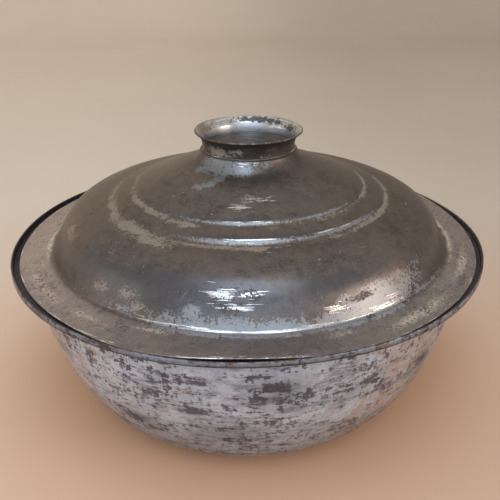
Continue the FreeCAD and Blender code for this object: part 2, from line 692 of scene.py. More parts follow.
CLOUD = Grain(30.0, 3.0, 0.55)
MOTTLE = Grain(5.5, 6.0, 0.66, twist=0.4)
FINE = Grain(1.1, 3.0, 0.6)
CRUMBS = Grain(2.2, 4.0, 0.7)
TEAR = Grain(9.0, 9.0, 0.76, twist=0.25)
SPARSE = Grain(1.6, 2.0, 0.5)
CLUSTER = Grain(17.0, 3.0, 0.6)
PIT = Grain(2.1, 3.0, 0.62)
SCRATCH = Grain(1.0, 1.0, 0.5)
BRUSH = Grain(0.55, 3.0, 0.6, length=24.0)
COMB = Grain(1.2, 6.0, 0.68, length=13.0)
RUNS = Grain(5.5, 8.0, 0.72, length=5.0)
THREADS = Grain(0.8, 3.0, 0.6, length=8.0)
DRIPS = Grain(15.0, 4.0, 0.6, length=2.4)
BANKS = Grain(17.0, 2.0, 0.5, length=34.0)
VEILS = Grain(7.0, 7.0, 0.7, length=17.0)
FLECKS = Grain(1.0, 2.0, 0.5, length=3.0)


class Weave:
    """The patterns of one finish, read in the piece's own millimetres."""

    def __init__(self, bench: Bench, finish: "AgedTin") -> None:
        """Finds the distances that the patterns follow, and reads the patterns used twice.

        The edge is the torn pattern, drawn out on the outside of a piece whose stains run.

        Args:
            bench: The material's bench.
            finish: The finish that they are for.
        """
        self.bench = bench
        self.girth = finish.girth
        self.places = bench.scaled(bench.places(), 1.0 / MM)
        x, self.y, self.z = bench.parts(self.places)
        self.x = x - finish.centre
        self.radius = (self.x * self.x + self.y * self.y + 0.01).root()
        self.down = self.radius + self.z * finish.rise
        self.cloud = self.read(CLOUD)
        self.mottle = self.read(MOTTLE)
        self.fine = self.read(FINE)
        self.brush = self.read(BRUSH)
        self.crumbs = self.read(CRUMBS, finish.fineness)
        tears = self.read(TEAR, finish.fineness)
        self.torn = tears * 0.52 + self.crumbs * 0.27 + self.fine * 0.21
        self.clusters = self.read(CLUSTER)
        self.outside = 1.0 - bench.coat(Coat.INSIDE)
        self.edge = self.torn
        if finish.flow > 1.0:
            blend = self.outside * self.radius.step(35.0, 80.0)
            self.edge = self.torn + (self.drawn(finish.flow) - self.torn) * blend

    def read(self, grain: Grain, scale: float = 1.0, stretch: float = 1.0) -> Signal:
        """Reads a pattern, evenly or drawn out round the piece.

        A drawn-out pattern is read at (x, y) over the radius times the girth over its length, and
        at the distance down over its width, so it closes on itself round the piece.

        Args:
            grain: The pattern.
            scale: Factor on the size of an even pattern.
            stretch: Factor on the length of a drawn-out one.

        Returns:
            The noise, about a half.
        """
        if not grain.length:
            return self.bench.noise(self.places, grain.size * scale, grain)
        turns = self.girth / (grain.length * stretch)
        east, north = self.x / self.radius * turns, self.y / self.radius * turns
        return self.bench.noise(self.bench.vector(east, north, self.down / grain.size), 1.0, grain)

    def drawn(self, flow: float) -> Signal:
        """The torn pattern drawn out round the piece, for the edges of runs and stains."""
        first = self.read(RUNS, stretch=flow) * 0.36 + self.crumbs * 0.28
        return first + self.read(THREADS) * 0.18 + self.read(DRIPS) * 0.18

    def scratch(self, angle: float, level: float) -> Signal:
        """Fine straight scratches, 22 mm long and half a millimetre wide at most.

        Args:
            angle: Their direction, in degrees.
            level: Noise level where they begin; they are sparser at a higher one.

        Returns:
            A mask from zero to one.
        """
        length, width = 22.0, 0.5
        cosine, sine = math.cos(math.radians(angle)), math.sin(math.radians(angle))
        along = (self.x * cosine + self.y * sine) / length
        across = (self.y * cosine - self.x * sine) / width
        where = self.bench.vector(along, across, self.z / length)
        return self.bench.noise(where, 1.0, SCRATCH).step(level, level + 0.05)


@dataclass(frozen=True)
class AgedTin:
    """Tin over copper, worn, stained and filmed, with the hammering and turning left in it.

    Args:
        name: The finish's name.
        ground: What the outside mostly shows.
        centre: Sideways place of the piece's axis, in millimetres.
        rise: Share of height in the distance down the wall, negative where the wall climbs inwards.
        tin: Clean dull tin.
        film_and_reflection: Pale tan film; on the bowl's sides it is also a painted warm reflection
            of the floor.
        burnish_and_highlight: Rubbed bright tin, also laid as painted highlights on the front of
            the lid.
        stain_and_shade: Dark stain or soot, also laid as painted shadow in the bowl's rim gap,
            under its band and below its ledge.
        copper: Bare copper.
        cool: Dark blue-grey metal under the brown.
        inside: The inner face.
        blotch: Strength of the light and dark clouds.
        grain: Strength of the fine mottling.
        ragged: How far the edges of film, tin and stain wander.
        combed: How far those of rubbed and of blue-grey places wander.
        bared: How far those of bare copper wander.
        flow: How much longer round than across the stains are; above one they are drawn out.
        speck_low: Noise level where light specks begin.
        streak_depth: Depth of the turning marks, in millimetres.
        hammer_depth: Depth of the small unevenness, in millimetres.
        veil: Strength of the half-dark veils between the stains.
        tarnish: Strength of the brown clouds.
        brown: Their colour.
        scratches: Strength of the fine bright scratches.
        fineness: Size of the torn edges, one for the large pieces.
        girth: Typical radius of the piece, in millimetres.
    """

    name: str
    ground: Layer
    centre: float = 0.0
    rise: float = -1.0
    tin: Layer = Layer((0.335, 0.357, 0.392), 0.92, 0.43)
    film_and_reflection: Layer = Layer((0.345, 0.300, 0.245), 0.35, 0.5)
    burnish_and_highlight: Layer = Layer((0.84, 0.86, 0.88), 1.0, 0.2)
    stain_and_shade: Layer = Layer((0.085, 0.072, 0.078), 0.65, 0.5)
    copper: Layer = Layer((0.20, 0.125, 0.09), 0.8, 0.45)
    cool: Layer = Layer((0.128, 0.130, 0.150), 0.95, 0.34)
    inside: Layer = Layer((0.36, 0.345, 0.325), 0.95, 0.4)
    blotch: float = 0.8
    grain: float = 0.85
    ragged: float = 4.4
    combed: float = 2.6
    bared: float = 3.0
    flow: float = 1.0
    speck_low: float = 0.745
    streak_depth: float = 0.010
    hammer_depth: float = 0.05
    veil: float = 0.0
    tarnish: float = 0.55
    brown: Color = (0.184, 0.155, 0.139)
    scratches: float = 0.6
    fineness: float = 1.0
    girth: float = 100.0

    def material(self) -> bpy.types.Material:
        """Lays the coats one over another.

        Returns:
            The material.
        """
        bench = Bench(self.name)
        weave = Weave(bench, self)
        coating = Coating(bench, self.ground)
        for lay in (self.lay_ground, self.lay_metals, self.lay_stains, self.lay_marks):
            lay(coating, weave)
        return coating.finish()

    def lay_ground(self, coating: Coating, weave: Weave) -> None:
        """Lays the ground coats, with turning marks, clouds, mottling and brown tarnish.

        Args:
            coating: The surface under way.
            weave: The finish's patterns.
        """
        cloud, mottle, fine, brush = weave.cloud, weave.mottle, weave.fine, weave.brush
        depths = ((brush, self.streak_depth), (mottle, self.hammer_depth))
        coating.height = swing(coating.height, *depths)
        coating.lay(1.0 - weave.outside, self.inside)
        tones = ((cloud, self.blotch), (mottle, self.grain), (fine, self.grain * 0.7))
        coating.shade(swing(1.0, *tones, (brush, 0.35)))
        rust = (mottle * 0.5 + cloud * 0.5).step(0.42, 0.6) * weave.outside * self.tarnish
        coating.color = coating.bench.mix(rust, coating.color, self.brown)
        coating.roughness = swing(coating.roughness, (mottle, 0.3), (cloud, 0.2), (fine, 0.15))

    def lay_metals(self, coating: Coating, weave: Weave) -> None:
        """Lays blue-grey metal, tan film with the bowl's painted warm reflection, clean tin with
        its light specks, and rubbed tin with the lid's painted highlights.

        Args:
            coating: The surface under way.
            weave: The finish's patterns.
        """
        coat = coating.bench.coat
        cool = coat(Coat.COOL).ragged(weave.torn, self.combed, 0.34) * 0.85
        coating.lay(cool, self.cool, -0.004)
        film_and_reflection = coat(Coat.FILM_AND_REFLECTION).ragged(weave.torn, self.ragged, 0.2)
        coating.lay(film_and_reflection * (weave.mottle * 0.5 + 0.62), self.film_and_reflection, 0.006)
        specks = swing(weave.read(SPARSE), (weave.clusters, 0.35))
        specks = specks.step(self.speck_low, self.speck_low + 0.03) * weave.outside
        bare = coat(Coat.TIN)
        cover = (bare * 0.5 + weave.crumbs * 0.5 + 0.32).smaller(1.0)
        tin = (bare.ragged(weave.edge, self.ragged) * cover).larger(specks)
        coating.lay(tin, self.tin, 0.012)
        burnish_and_highlight = coat(Coat.BURNISH_AND_HIGHLIGHT).ragged(weave.read(COMB), self.combed)
        coating.lay(burnish_and_highlight, self.burnish_and_highlight, 0.004)

    def lay_stains(self, coating: Coating, weave: Weave) -> None:
        """Lays veils and flecks, dark stains with the bowl's painted shadows, pits and bare copper.

        Args:
            coating: The surface under way.
            weave: The finish's patterns.
        """
        coat = coating.bench.coat
        stained = coat(Coat.STAIN_AND_SHADE)
        if self.veil > 0.0:
            haze = (weave.read(VEILS) + (stained - 0.35) * 0.5).step(0.47, 0.60)
            coating.lay(haze * weave.outside * self.veil, self.stain_and_shade)
            flecks = swing(weave.read(FLECKS), (weave.clusters, 0.4)).step(0.69, 0.73)
            coating.lay(flecks * weave.outside * 0.8, self.stain_and_shade, -0.01)
        if self.flow > 1.0:
            stained = stained + (weave.read(BANKS) - 0.5) * 0.8 * weave.outside
        cover = (weave.mottle * 0.5 + 0.70).smaller(1.0)
        stain_and_shade = stained.ragged(weave.edge, self.ragged * 1.15, 0.12) * cover
        coating.lay(stain_and_shade, self.stain_and_shade, -0.015)
        pits = swing(weave.read(PIT), (weave.clusters, 0.3)).step(0.70, 0.735)
        coating.lay(pits * 0.8, self.stain_and_shade, -0.03)
        coating.lay(coat(Coat.COPPER).ragged(weave.torn, self.bared), self.copper, -0.01)

    def lay_marks(self, coating: Coating, weave: Weave) -> None:
        """Lays bright scratches, and the last mottling and shade.

        Args:
            coating: The surface under way.
            weave: The finish's patterns.
        """
        lines = weave.scratch(25.0, 0.74).larger(weave.scratch(-38.0, 0.75))
        lines = lines.larger(weave.brush.step(0.71, 0.78))
        coating.lay(lines * (weave.clusters.step(0.42, 0.6) * self.scratches), self.tin)
        late = swing(1.0, (weave.mottle, 0.3), (weave.fine, 0.3))
        coating.shade(late * (1.0 - coating.bench.coat(Coat.SHADE)))


# ---- the bowl


@dataclass
class Bowl:
    """The round-bottomed bowl with its ledge and upright rim band, sizes in millimetres."""

    rim_radius: float = 140.0
    height: float = 103.5
    sheet: float = 1.1
    band_height: float = 3.9
    band_bend: float = 1.8
    ledge_width: float = 13.0
    ledge_slope: float = 2.1 / 18.7
    ledge_bend: float = 1.5
    neck_height: float = 6.4
    belly_reach: float = 63.0
    heel_radius: float = 50.0
    edge_round: float = 0.4
    wall_reach: float = 128.0
    band_reach: float = 136.0
    spacing: float = 2.3
    turn_step: float = 14.0
    around: int = 396
    dents: Dents = Dents(seed=11, count=60, depth=0.22, width=15.0)

    def outside(self) -> np.ndarray:
        """Corners of the outer face, from the middle of the base to the rim's top.

        The heel arc and the side arc meet with one tangent, which leans from the upright by
        twice the angle whose tangent is (reach - heel) / (height - heel).

        Returns:
            Rows of radius, height and bend.
        """
        neck = self.rim_radius - self.ledge_width
        underside = self.height - self.band_height
        neck_top = underside + self.ledge_width * self.ledge_slope
        height = neck_top - self.ledge_bend - self.neck_height
        half_lean = math.atan2(self.belly_reach - self.heel_radius, height - self.heel_radius)
        rise = 0.5 * math.pi - 2.0 * half_lean
        side = self.heel_radius + (height - self.heel_radius) / math.cos(rise)
        base = neck - self.belly_reach
        return corner_list(
            (0.0, 0.0),
            (base + self.heel_radius * math.tan(0.5 * rise), 0.0, self.heel_radius),
            (neck, height - side * math.tan(half_lean), side),
            (neck, neck_top, self.ledge_bend),
            (self.rim_radius, underside, self.band_bend),
            (self.rim_radius, self.height, self.edge_round),
        )

    def skin(self) -> Turning:
        """The section out along the outer face and back along the inner one.

        Returns:
            The turned skin.
        """
        outside = self.outside()
        inside = parallel_face(outside, self.sheet)
        inside[-1, 2] = self.edge_round
        path = np.vstack([outside, inside[::-1]])
        return Turning(bent_run(path, self.spacing, self.turn_step), self.around)

    def settled(self, skin: Turning) -> np.ndarray:
        """The points, with the rim a little higher and the ledge lower at the two sides.

        The side share is (1 + cos 2a) / 2. The rim dips in two bells and ripples a little, and
        the radius gains two small waves round the piece, which fade out towards the base.

        Args:
            skin: The turned skin.

        Returns:
            Rows of x, y and z in millimetres.
        """
        turn = np.radians(skin.azimuth)
        side = 0.5 + 0.5 * np.cos(2.0 * turn)
        high = smooth(skin.height, self.height - 3.0, self.height)
        ledge = smooth(skin.radius, self.rim_radius - self.ledge_width, self.rim_radius - 6.0)
        height = skin.height + side * (0.45 * high * ledge - 1.2 * (1.0 - high) * ledge)
        height -= bells(skin.azimuth, (0.9, 38.0, 26.0), (0.7, 140.0, 24.0)) * high * ledge
        height += ripples(turn, (0.10, 5.0, 1.0), (0.06, 9.0, 0.0)) * ledge
        waves = ripples(turn, (0.25, 3.0, 0.6), (0.12, 7.0, 0.0)) - 0.25
        radius = skin.radius + smooth(skin.height, 5.0, 70.0) * waves
        dents = self.dents.push(placed(radius, turn, height))
        dents *= smooth(skin.height, 8.0, 30.0) * (1.0 - ledge)
        return placed(radius + dents * radius / np.maximum(radius, 1.0), turn, height)

    def stains(self) -> list[Patch]:
        """Dark patches on the wall, by azimuth and height."""
        return patches(
            (-84, 74, 19, 21, 0.6), (-98, 50, 22, 13, 0.58), (-112, 80, 17, 11, 0.52),
            (-66, 70, 14, 14, 0.5), (-45, 66, 18, 24, 0.5), (-122, 50, 13, 15, 0.5),
            (-101, 83, 6.5, 4.2, 1), (-109, 84, 4.5, 4, 0.75), (-89, 86, 7, 4, 0.85),
            (-83, 80, 9, 5.5, 0.7), (-77, 73, 7, 6, 0.66), (-81, 64, 9, 5, 0.7),
            (-112, 72, 4.5, 5, 0.7), (-102, 62, 9, 5, 0.95), (-95, 50, 10, 6, 0.8),
            (-91, 40, 12, 8, 0.75), (-121, 43, 7, 6, 1), (-115, 38, 6, 4, 0.9),
            (-61, 71, 7, 5, 0.8), (-41, 64, 7, 8, 0.85), (-72, 48, 7, 3, 0.7),
            (-129, 82, 4, 3, 0.75), (-125, 76, 3.5, 4, 0.6), (20, 60, 14, 14, 0.7),
            (75, 72, 22, 12, 0.85), (130, 50, 18, 15, 0.8), (165, 80, 10, 8, 0.75),
            (-160, 55, 16, 10, 0.7),
        )

    def dim(self) -> list[Patch]:
        """Broad places on the wall painted darker, as painted shade."""
        return patches(
            (-84, 76, 12, 18, 0.36), (-95, 46, 15, 13, 0.26), (-119, 44, 11, 12, 0.3),
            (-110, 84, 7, 7, 0.2), (-41, 62, 9, 24, 0.26), (-66, 68, 8, 12, 0.18),
            (60, 70, 30, 20, 0.25), (150, 60, 30, 20, 0.25),
        )

    def clean(self) -> list[Patch]:
        """Bright, less stained places on the wall."""
        return patches(
            (-104, 76, 9, 5, 0.7), (-88, 58, 4.5, 6, 0.9), (-73, 82, 10, 4, 0.7),
            (-99, 70, 6, 4, 0.7), (-75, 60, 12, 6, 0.55), (100, 60, 20, 12, 0.6),
            (-10, 75, 16, 9, 0.6),
        )

    def coats(self, skin: Turning) -> dict[Coat, np.ndarray]:
        """The bowl's soft patches.

        Args:
            skin: The turned skin.

        Returns:
            One value per vertex for each coat.
        """
        azimuth, height, radius = skin.azimuth, skin.height, skin.radius
        inner = (skin.row > int(np.argmax(skin.section[:, 1]))).astype(float)
        outer = 1.0 - inner
        top, neck = self.height, self.wall_reach
        across = np.cos(np.radians(azimuth))
        front = 0.5 - 0.5 * np.sin(np.radians(azimuth))
        wall = smooth(height, 4.0, 20.0) * smooth(radius, neck + 2.0, neck)
        # Painted shadow on the wall just below the ledge, where the wall meets the neck.
        corner = np.exp(-0.5 * ((height - 94.5) / 2.8) ** 2) * (radius < neck + 1.0) * outer
        at_rim = radius > self.band_reach
        # Painted shadow: a dark line along the foot of the rim band.
        band_foot = top - self.band_height + 0.3
        under_band_shade = np.exp(-0.5 * ((height - band_foot) / 0.9) ** 2) * at_rim * outer
        band = smooth(radius, self.rim_radius - 2.0, self.rim_radius - 0.5) * outer
        # Painted shadow on the rim's inner face in the gap between lid and rim, weaker at the back
        # right.
        gap_shadow = inner * smooth(radius, neck - 0.5, neck + 2.0)
        gap_shadow *= 1.0 - 0.8 * bell(azimuth, 35.0, 26.0)
        # Real stains on the wall, plus the painted shadows below the ledge, under the band and in
        # the gap, laid as the same dark stain.
        stain_and_shade = strongest(
            0.305 * wall * (0.6 + 0.4 * front) * outer,
            0.80 * painted(self.stains(), azimuth, height) * outer,
            0.42 * corner,
            0.6 * under_band_shade,
            0.55 * smooth(height, 9.0, 1.0) * outer,
            0.33 * smooth(height, 34.0, 6.0) * inner,
            gap_shadow,
            0.5 * smooth(height, top - 0.5, top - 0.1) * at_rim,
            band * (0.26 + 0.12 * smooth(-across, 0.2, 0.8)),
        )
        # Painted warm reflection of the floor on the wall's left and right sides, laid as film; the
        # film also grows towards the bottom.
        warm = 0.78 * smooth(across, 0.15, 0.75) + 0.8 * smooth(-across, 0.38, 0.97)
        film_and_reflection = strongest(
            outer * wall * (warm + 0.38 * smooth(height, 48.0, 12.0)),
            0.35 * inner,
            band * (0.34 + 0.26 * smooth(np.abs(across), 0.3, 0.9)),
        )
        spot = painted(patches((-117, top - 1.0, 5, 2.4, 0.62)), azimuth, height)
        copper = strongest(
            0.34 * smooth(height, top - 0.55, top - 0.1),
            0.8 * spot * smooth(radius, self.band_reach, self.band_reach + 2.0),
            0.38 * smooth(height, 22.0, 8.0) * outer,
            0.34 * smooth(radius, 60.0, 20.0) * inner,
            # Copper-brown tint on the painted gap shadow near the rim's top.
            0.46 * gap_shadow * smooth(height, top - 2.8, top - 1.2),
        )
        # Painted shade: the shadow lines and gap, the rim band darker towards the front, the wall
        # darker towards the bottom, and the broad dim places.
        shade = 0.72 * under_band_shade + 0.5 * corner + 0.58 * gap_shadow + (0.30 + 0.18 * front) * band
        shade += (0.34 * smooth(height, 60.0, 16.0) + painted(self.dim(), azimuth, height)) * outer
        return {
            Coat.TIN: 0.38 * band,
            Coat.FILM_AND_REFLECTION: film_and_reflection,
            Coat.BURNISH_AND_HIGHLIGHT: 0.55 * painted(self.clean(), azimuth, height) * outer,
            Coat.STAIN_AND_SHADE: stain_and_shade,
            Coat.COPPER: copper,
            Coat.INSIDE: inner,
            Coat.SHADE: shade,
        }

    def finish(self) -> AgedTin:
        """Dull pewter-coloured tin with dark, drawn-out stains."""
        return AgedTin(
            name="tinned_wall",
            ground=Layer((0.555, 0.66, 0.83), 0.7, 0.42),
            rise=1.0,
            burnish_and_highlight=Layer((0.74, 0.74, 0.80), 0.85, 0.36),
            # This stain colour also fills the painted shadows below the ledge, under the band and
            # in the gap.
            stain_and_shade=Layer((0.104, 0.098, 0.130), 0.4, 0.46),
            # On the bowl this film is mostly the painted warm reflection of the floor.
            film_and_reflection=Layer((0.49, 0.43, 0.385), 0.6, 0.48),
            flow=1.45,
            ragged=5.6,
            copper=Layer((0.30, 0.155, 0.095), 0.85, 0.44),
            blotch=0.5,
            grain=0.5,
            speck_low=0.76,
            veil=0.5,
            tarnish=0.0,
            scratches=0.35,
        )

    def make(self) -> Piece:
        """Builds and dresses the bowl.

        Returns:
            The piece.
        """
        skin = self.skin()
        piece = skin.build("bowl_skin", self.settled(skin), self.coats(skin))
        piece.data.materials.append(self.finish().material())
        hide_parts("bowl")
        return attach(piece, Body.BOWL.value)


# ---- the lid


@dataclass
class Lid:
    """The domed lid, sizes in millimetres; it sits a little to the right in the rim.

    The flights are the riser, the shoulder and the two steps, each by its run inwards, its rise
    and the bend at its end. The lifts of the brim's edge and the places where it closes on the rim
    are bells, each by its size, its middle and its width in degrees.
    """

    brim_radius: float = 136.0
    brim_level: float = 102.565
    sheet: float = 1.1
    brim_width: float = 18.7
    brim_rise: float = 2.1
    shelf_level: float = 158.265
    collar_radius: float = 26.9
    shelf_margin: float = 1.3
    shelf_bend: float = 1.25
    boss_radius: float = 25.8
    boss_height: float = 2.0
    boss_bend: float = 1.4
    crown_swell: float = 0.5
    crown_bend: float = 300.0
    sweep_run: float = 3.5
    sweep_drop: float = 5.9
    sweep_bend: float = 11.0
    flights: tuple[tuple[float, float, float], ...] = (
        (9.5, 19.0, 23.0), (14.3, 6.4, 48.0), (13.1, 1.8, 1.0),
        (2.8, 2.4, 2.4), (9.7, 2.6, 1.0), (2.3, 1.9, 2.4),
    )
    lifts: tuple[tuple[float, float, float], ...] = (
        (1.25, -90.0, 9.5), (0.25, 90.0, 30.0), (1.5, 36.0, 24.0), (0.8, 180.0, 40.0),
    )
    closings: tuple[tuple[float, float, float], ...] = (
        (2.1, -113.0, 10.0), (1.8, -69.0, 7.0), (2.0, 36.0, 22.0), (1.9, 178.0, 40.0),
    )
    edge_round: float = 0.4
    shift: float = 1.3
    spacing: float = 2.4
    turn_step: float = 11.0
    rough_turn_step: float = 24.0
    around: int = 372
    dents: Dents = Dents(seed=5, count=70, depth=0.20, width=14.0)

    def upper(self) -> np.ndarray:
        """Corners of the upper face from the brim's edge to the middle of the boss.

        Returns:
            Rows of radius, height and bend.
        """
        corners = [
            (self.brim_radius, self.brim_level, self.edge_round),
            (self.brim_radius - self.brim_width, self.brim_level + self.brim_rise, 1.5),
        ]
        for run, rise, bend in self.flights:
            radius, height = corners[-1][:2]
            corners.append((radius - run, height + rise, bend))
        crest_r, crest_z = corners[-1][:2]
        sweep_r = self.collar_radius + self.sweep_run
        sweep_z = self.shelf_level - self.sweep_drop
        crown_z = 0.5 * (crest_z + sweep_z) + self.crown_swell
        top = self.shelf_level + self.boss_height
        corners += [
            (0.5 * (crest_r + sweep_r), crown_z, self.crown_bend),
            (sweep_r, sweep_z, self.sweep_bend),
            (self.collar_radius + self.shelf_margin, self.shelf_level, self.shelf_bend),
            (self.boss_radius, self.shelf_level, 0.1),
            (self.boss_radius, top, self.boss_bend),
            (0.0, top),
        ]
        return corner_list(*corners)

    def skin(self) -> Turning:
        """The section out along the lower face and back along the upper one.

        Returns:
            The turned skin.
        """
        upper = self.upper()
        lower = parallel_face(upper, self.sheet)
        lower[0, 2] = self.edge_round
        under = bent_run(lower[::-1][:-1], 2.0 * self.spacing, self.rough_turn_step)
        over = bent_run(np.vstack([lower[1::-1], upper]), self.spacing, self.turn_step)
        return Turning(without_doubles(np.vstack([under, over[1:]])), self.around)

    def settled(self, skin: Turning) -> np.ndarray:
        """The points, with the brim lower at the sides and lifted at the middle of the front.

        The side share is (1 + cos 2a) / 2. It, the lifts and the closings fade out from the
        brim's edge to the riser's foot.

        Args:
            skin: The turned skin.

        Returns:
            Rows of x, y and z in millimetres.
        """
        turn = np.radians(skin.azimuth)
        side = 0.5 + 0.5 * np.cos(2.0 * turn)
        foot = self.brim_radius - self.brim_width
        out = smooth(skin.radius, foot - 6.0, self.brim_radius)
        edge = smooth(skin.radius, foot, self.brim_radius) ** 2
        lift = bells(skin.azimuth, *self.lifts) + ripples(turn, (0.05, 11.0, 0.0))
        height = skin.height - 1.35 * side * out + lift * edge
        waves = ripples(turn, (0.35, 2.0, math.pi), (0.15, 5.0, 0.4))
        radius = skin.radius + smooth(skin.radius, 30.0, 110.0) * waves
        radius += (bells(skin.azimuth, *self.closings) - side) * edge
        dents = self.dents.push(placed(radius, turn, height))
        dents *= smooth(skin.radius, 34.0, 46.0) * (1.0 - out)
        return placed(radius, turn, height + dents, self.shift)

    def tin(self) -> list[Patch]:
        """Grey tin that shows through the dark, by azimuth and radius."""
        return patches(
            (-122, 30.5, 42, 6.5, 0.95), (-98, 31, 18, 5.5, 0.9), (-117, 36.5, 13, 6.5, 0.85),
            (-121, 41.5, 9, 5.5, 0.9), (-126, 46, 8, 3.4, 0.9), (-145, 34.5, 12, 3.6, 0.75),
            (-70, 29.5, 14, 2.2, 0.6), (-97, 118, 31, 5.9, 1), (-83, 117, 14, 3.5, 1),
            (-104, 113.5, 4, 2.5, 0.9), (-110, 115.2, 9, 1.8, 0.62), (-122, 116, 10, 1.6, 0.55),
            (-64, 117.6, 28, 6.4, 1), (-58, 114.6, 18, 4.8, 1), (-56, 112, 8, 2.4, 0.8),
            (-46, 114, 10, 4.6, 0.66), (-39, 111, 5, 2.6, 0.55), (-66, 112.8, 5, 2.4, 0.7),
            (-38, 117.5, 20, 1.6, 0.7), (-90, 79, 40, 1.6, 1), (-50, 79, 34, 1.4, 0.9),
            (-95, 66.8, 42, 1.2, 1), (-52, 66.8, 32, 1.1, 0.9), (-88, 51, 13, 5.5, 0.52),
            (-96, 55, 7, 2.8, 0.5), (60, 100, 9, 7, 0.7), (118, 113, 22, 3.6, 0.8),
            (95, 52, 12, 5, 0.6), (150, 96, 8, 5, 0.6),
        )

    def film_and_reflection(self) -> list[Patch]:
        """Tan film that gathers in the corners and on the brim."""
        return patches(
            (-138, 84, 28, 6, 0.95), (-126, 88, 14, 5.6, 0.85), (-162, 82, 28, 3.6, 0.9),
            (-98, 82.6, 34, 3, 0.8), (-36, 82, 46, 2.8, 0.8), (-146, 69.2, 40, 2.8, 0.95),
            (-121, 70.4, 17, 3.6, 0.9), (-50, 69.2, 64, 2, 0.75), (-88, 84.5, 6, 2.6, 0.8),
            (-174, 119.6, 20, 2.6, 0.85), (-2, 119.8, 34, 3, 0.8), (-122, 112.6, 5.5, 2.8, 0.64),
            (-118, 115.2, 4.5, 1.8, 0.66), (-131, 113.4, 5.5, 2.8, 0.56), (-47, 111.6, 9, 2.8, 0.6),
            (-150, 128.5, 24, 6, 0.66), (-128, 127, 16, 5, 0.6), (-112, 122, 9, 3, 0.7),
            (-50, 129, 26, 6.5, 0.66), (-20, 127.5, 22, 6, 0.62), (-70, 124, 8, 4, 0.6),
            (-81, 120.5, 5, 2, 0.7), (40, 126, 40, 7, 0.55), (120, 127, 45, 7, 0.58),
            (-8, 81.3, 54, 2.3, 1), (-8, 68.7, 50, 2, 1), (178, 81.3, 40, 1.8, 0.9),
            (178, 68.7, 40, 1.6, 0.9), (60, 82.5, 60, 2.6, 0.7), (150, 69, 60, 2, 0.6),
            (-130, 30, 24, 3, 0.6), (-160, 106, 14, 8, 0.45),
        )

    def cool(self) -> list[Patch]:
        """Where the brown has worn down to dark blue-grey metal."""
        return patches(
            (-108, 109, 56, 11, 1), (-72, 108, 26, 8, 0.8), (-90, 76.8, 50, 3, 0.7),
            (-90, 64.8, 50, 2.6, 0.7), (-135, 124, 40, 9, 0.5), (-60, 52, 30, 12, 0.5),
            (40, 104, 30, 9, 0.7), (130, 60, 40, 12, 0.6),
        )

    def burnish_and_highlight(self) -> list[Patch]:
        """Painted highlights along the front of the riser, its foot, the step feet and the neck
        under the ring, with rubbed bright wear on the crown.
        """
        return patches(
            (-97, 109.4, 6.8, 2.4, 0.72), (-90, 109.2, 5, 1.8, 0.8), (-94, 112.2, 9, 1.5, 0.5),
            (-90, 78.2, 26, 0.9, 0.85), (-52, 78.2, 22, 0.8, 0.7), (-90, 66.2, 24, 0.8, 0.8),
            (-55, 66.2, 22, 0.7, 0.65), (-94, 28.9, 24, 0.8, 0.7), (-97, 117.2, 42, 1, 0.66),
            (-60, 117, 26, 0.9, 0.55), (-88, 51, 18, 6, 0.42), (-97, 56, 12, 4, 0.42),
            (-70, 113.8, 6, 1.6, 0.6), (-52, 115.6, 12, 1.4, 0.36),
        )

    def stains(self) -> list[Patch]:
        """Dark spots and scars."""
        return patches(
            (-66, 34, 34, 7.5, 0.5), (-60, 40, 26, 9, 0.4), (-105, 56.6, 4.2, 2, 0.85),
            (-18, 63.6, 3.2, 2.4, 0.9), (-69, 62.4, 6, 1.2, 0.85), (-62, 113, 7, 1.5, 0.72),
            (-61, 118.4, 2.2, 2.6, 0.78), (-62, 120, 1.6, 2, 0.8), (-47, 126, 3.2, 2, 0.8),
            (-30, 131, 12, 4, 0.62), (-45, 121.5, 3, 1.4, 0.7), (-150, 124, 18, 3, 0.5),
            (-152, 128, 26, 7, 0.5), (-122, 128, 18, 6, 0.46), (-12, 125, 20, 6, 0.46),
            (-60, 127, 16, 7, 0.42), (-118, 31.5, 3.5, 1.6, 0.9), (-127, 33.5, 3.5, 1.5, 0.85),
            (-108, 117.5, 3, 1, 0.6), (-97, 109.5, 28, 7, 0.4), (70, 60, 8, 4, 0.6),
            (130, 105, 6, 5, 0.6),
        )

    def coats(self, skin: Turning) -> dict[Coat, np.ndarray]:
        """The lid's soft patches.

        Args:
            skin: The turned skin.

        Returns:
            One value per vertex for each coat.
        """
        azimuth, radius = skin.azimuth, skin.radius
        under = (skin.row < int(np.argmax(skin.section[:, 0]))).astype(float)
        over = 1.0 - under
        foot = self.brim_radius - self.brim_width
        brim = smooth(radius, foot + 1.2, foot + 3.7) * over
        rim_edge = smooth(radius, self.brim_radius - 0.8, self.brim_radius - 0.2)
        boss = smooth(radius, self.boss_radius + 0.2, self.boss_radius - 1.8) * over
        neck = smooth(radius, 41.0, 31.0) * over * (1.0 - boss)
        sideways = np.abs(np.cos(np.radians(azimuth)))
